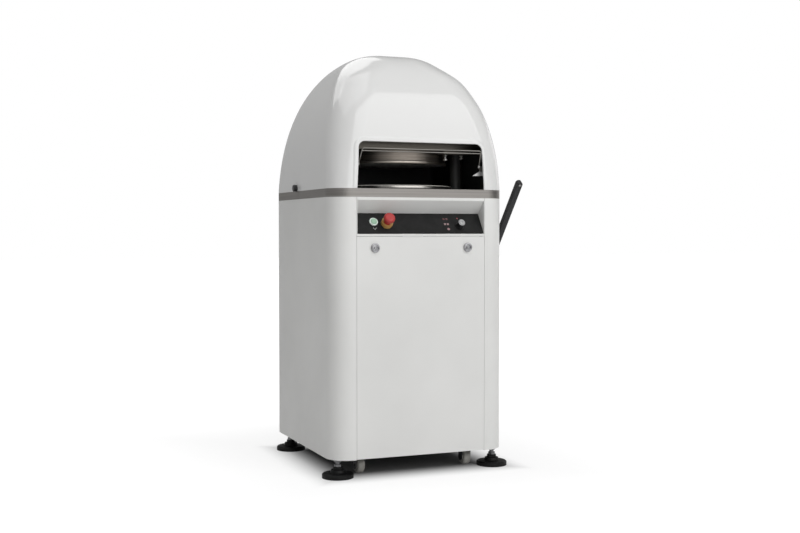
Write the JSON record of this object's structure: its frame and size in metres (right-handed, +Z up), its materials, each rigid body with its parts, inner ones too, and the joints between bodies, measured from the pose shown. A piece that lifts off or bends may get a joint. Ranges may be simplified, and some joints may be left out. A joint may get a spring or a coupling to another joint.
{
  "type": "dough divider rounder",
  "caption": "Floor-standing bakery machine with a domed hood and feed window: a knife head presses and divides dough, an orbiting plate rounds it; sloped control panel and side lever.",
  "frame": {"origin": "on the floor, under the middle of the cabinet", "axes": "+X to the machine's right, +Y to its rear, +Z up; the operator stands at -Y"},
  "size_m": [0.7189, 0.7323, 1.499],
  "materials": {
    "cabinet_paint": "satin",
    "hood_shell": "gloss",
    "stainless": "brushed",
    "polished_steel": "polished",
    "plain_steel": "satin",
    "cast_grey": "satin",
    "black_panel": "satin",
    "black_paint": "satin",
    "black_plastic": "satin",
    "black_rubber": "matte",
    "grey_rubber": "matte",
    "red_plastic": "gloss",
    "yellow_plastic": "gloss",
    "green_plastic": "satin",
    "lens_red": "gloss",
    "pale_plastic": "satin",
    "motor_paint": "satin",
    "bronze": "satin"
  },
  "bodies": {
    "cabinet": {"base_plate": "plain_steel", "corner_posts": "plain_steel", "left_side_panel": "cabinet_paint", "right_side_panel": "cabinet_paint", "rear_panel": "cabinet_paint", "cable_gland": "black_plastic", "front_band": "stainless", "rear_band": "stainless", "deck_plate": "stainless", "guide_bushes": "bronze", "control_fascia": "cabinet_paint", "control_plate": "black_panel", "indicator_lenses": "lens_red", "start_bezel": "polished_steel", "stop_collar": "yellow_plastic", "hood_hinges": "stainless", "foot_pads": "black_rubber", "foot_stems": "plain_steel", "foot_nuts": "plain_steel", "caster_forks": "plain_steel", "press_cylinder": "black_paint", "oil_tank": "motor_paint", "pump_motor": "motor_paint", "drive_casting": "cast_grey", "shaft_bearings": "plain_steel", "drive_motor": "motor_paint", "drive_belt": "black_rubber", "lever_bush": "plain_steel"},
    "hood": {"hood_shell": "hood_shell", "hinge_leaves": "stainless", "guard_brackets": "stainless"},
    "guard": {"wire_guard": "polished_steel"},
    "knob_left": {"hood_knob_left": "black_plastic"},
    "knob_right": {"hood_knob_right": "black_plastic"},
    "door": {"front_door": "cabinet_paint"},
    "lock_left": {"door_lock_left": "polished_steel"},
    "lock_right": {"door_lock_right": "polished_steel"},
    "start": {"start_button": "green_plastic"},
    "stop": {"stop_button": "red_plastic"},
    "timer": {"timer_knob": "black_plastic"},
    "lever": {"side_lever": "black_paint"},
    "press_head": {"head_casting": "cast_grey", "press_ring": "polished_steel", "knife_set": "stainless", "ram_cylinder": "plain_steel", "press_columns": "plain_steel", "lower_yoke": "cast_grey", "press_rod": "polished_steel"},
    "platen": {"press_platen": "stainless"},
    "eccentric": {"eccentric_shaft": "plain_steel", "driven_pulley": "cast_grey"},
    "table": {"rounding_table": "stainless", "moulding_plate": "pale_plastic"},
    "crank_left": {"support_crank_left": "plain_steel"},
    "crank_right": {"support_crank_right": "plain_steel"},
    "motor_drive": {"motor_pulley": "cast_grey"},
    "wheel_front_left": {"caster_wheel_front_left": "grey_rubber"},
    "wheel_front_right": {"caster_wheel_front_right": "grey_rubber"},
    "wheel_rear_left": {"caster_wheel_rear_left": "grey_rubber"},
    "wheel_rear_right": {"caster_wheel_rear_right": "grey_rubber"}
  },
  "joints": [
    {"name": "hood_tilt", "type": "hinge", "parent": "cabinet", "child": "hood", "pos_m": [0, 0.333, 1.006], "axis": [-1, 0, 0], "range_deg": [0, 85]},
    {"name": "guard_swing", "type": "hinge", "parent": "hood", "child": "guard", "pos_m": [0, -0.3, 1.075], "axis": [1, 0, 0], "range_deg": [-70, 0]},
    {"name": "knob_left_turn", "type": "hinge", "parent": "hood", "child": "knob_left", "pos_m": [-0.332, 0.08, 1.011], "axis": [-1, 0, 0], "continuous": true},
    {"name": "knob_right_turn", "type": "hinge", "parent": "hood", "child": "knob_right", "pos_m": [0.332, 0.08, 1.011], "axis": [1, 0, 0], "continuous": true},
    {"name": "door_tilt", "type": "hinge", "parent": "cabinet", "child": "door", "pos_m": [0, -0.311, 0.09], "axis": [1, 0, 0], "range_deg": [0, 80]},
    {"name": "lock_left_turn", "type": "hinge", "parent": "door", "child": "lock_left", "pos_m": [-0.176, -0.325, 0.795], "axis": [0, -1, 0], "range_deg": [0, 90]},
    {"name": "lock_right_turn", "type": "hinge", "parent": "door", "child": "lock_right", "pos_m": [0.176, -0.325, 0.795], "axis": [0, 1, 0], "range_deg": [0, 90]},
    {"name": "start_press", "type": "slide", "parent": "cabinet", "child": "start", "axis": [0, 0.8267, -0.5626], "range_m": [0, 0.003], "stiffness_N_per_m": 600, "springref_m": -0.002},
    {"name": "stop_press", "type": "slide", "parent": "cabinet", "child": "stop", "axis": [0, 0.8267, -0.5626], "range_m": [0, 0.004], "stiffness_N_per_m": 900, "springref_m": -0.002},
    {"name": "timer_turn", "type": "hinge", "parent": "cabinet", "child": "timer", "pos_m": [0.154, -0.30584, 0.87115], "axis": [0, -0.8267, 0.5626], "range_deg": [-135, 135]},
    {"name": "lever_swing", "type": "hinge", "parent": "cabinet", "child": "lever", "pos_m": [0.345, -0.1, 0.698], "axis": [-1, 0, 0], "range_deg": [0, 60]},
    {"name": "press_stroke", "type": "slide", "parent": "cabinet", "child": "press_head", "axis": [0, 0, 1], "range_m": [-0.075, 0]},
    {"name": "platen_lift", "type": "slide", "parent": "press_head", "child": "platen", "axis": [0, 0, 1], "range_m": [0, 0.036]},
    {"name": "eccentric_turn", "type": "hinge", "parent": "cabinet", "child": "eccentric", "pos_m": [0, 0, 0.9], "axis": [0, 0, 1], "continuous": true},
    {"name": "table_orbit", "type": "hinge", "parent": "eccentric", "child": "table", "pos_m": [0.012, 0, 0.99], "axis": [0, 0, 1], "continuous": true},
    {"name": "crank_left_turn", "type": "hinge", "parent": "cabinet", "child": "crank_left", "pos_m": [-0.15, 0, 0.97], "axis": [0, 0, 1], "continuous": true},
    {"name": "crank_right_turn", "type": "hinge", "parent": "cabinet", "child": "crank_right", "pos_m": [0.15, 0, 0.97], "axis": [0, 0, 1], "continuous": true},
    {"name": "motor_turn", "type": "hinge", "parent": "cabinet", "child": "motor_drive", "pos_m": [0, 0.2, 0.75], "axis": [0, 0, 1], "continuous": true},
    {"name": "wheel_front_left_roll", "type": "hinge", "parent": "cabinet", "child": "wheel_front_left", "pos_m": [-0.205, -0.241, 0.031], "axis": [1, 0, 0], "continuous": true},
    {"name": "wheel_front_right_roll", "type": "hinge", "parent": "cabinet", "child": "wheel_front_right", "pos_m": [0.205, -0.241, 0.031], "axis": [1, 0, 0], "continuous": true},
    {"name": "wheel_rear_left_roll", "type": "hinge", "parent": "cabinet", "child": "wheel_rear_left", "pos_m": [-0.205, 0.241, 0.031], "axis": [1, 0, 0], "continuous": true},
    {"name": "wheel_rear_right_roll", "type": "hinge", "parent": "cabinet", "child": "wheel_rear_right", "pos_m": [0.205, 0.241, 0.031], "axis": [1, 0, 0], "continuous": true}
  ],
  "couplings": [
    {"joint": "table_orbit", "follows": "eccentric_turn", "ratio": -1},
    {"joint": "crank_left_turn", "follows": "eccentric_turn", "ratio": 1},
    {"joint": "crank_right_turn", "follows": "eccentric_turn", "ratio": 1},
    {"joint": "motor_turn", "follows": "eccentric_turn", "ratio": 2.9333}
  ]
}
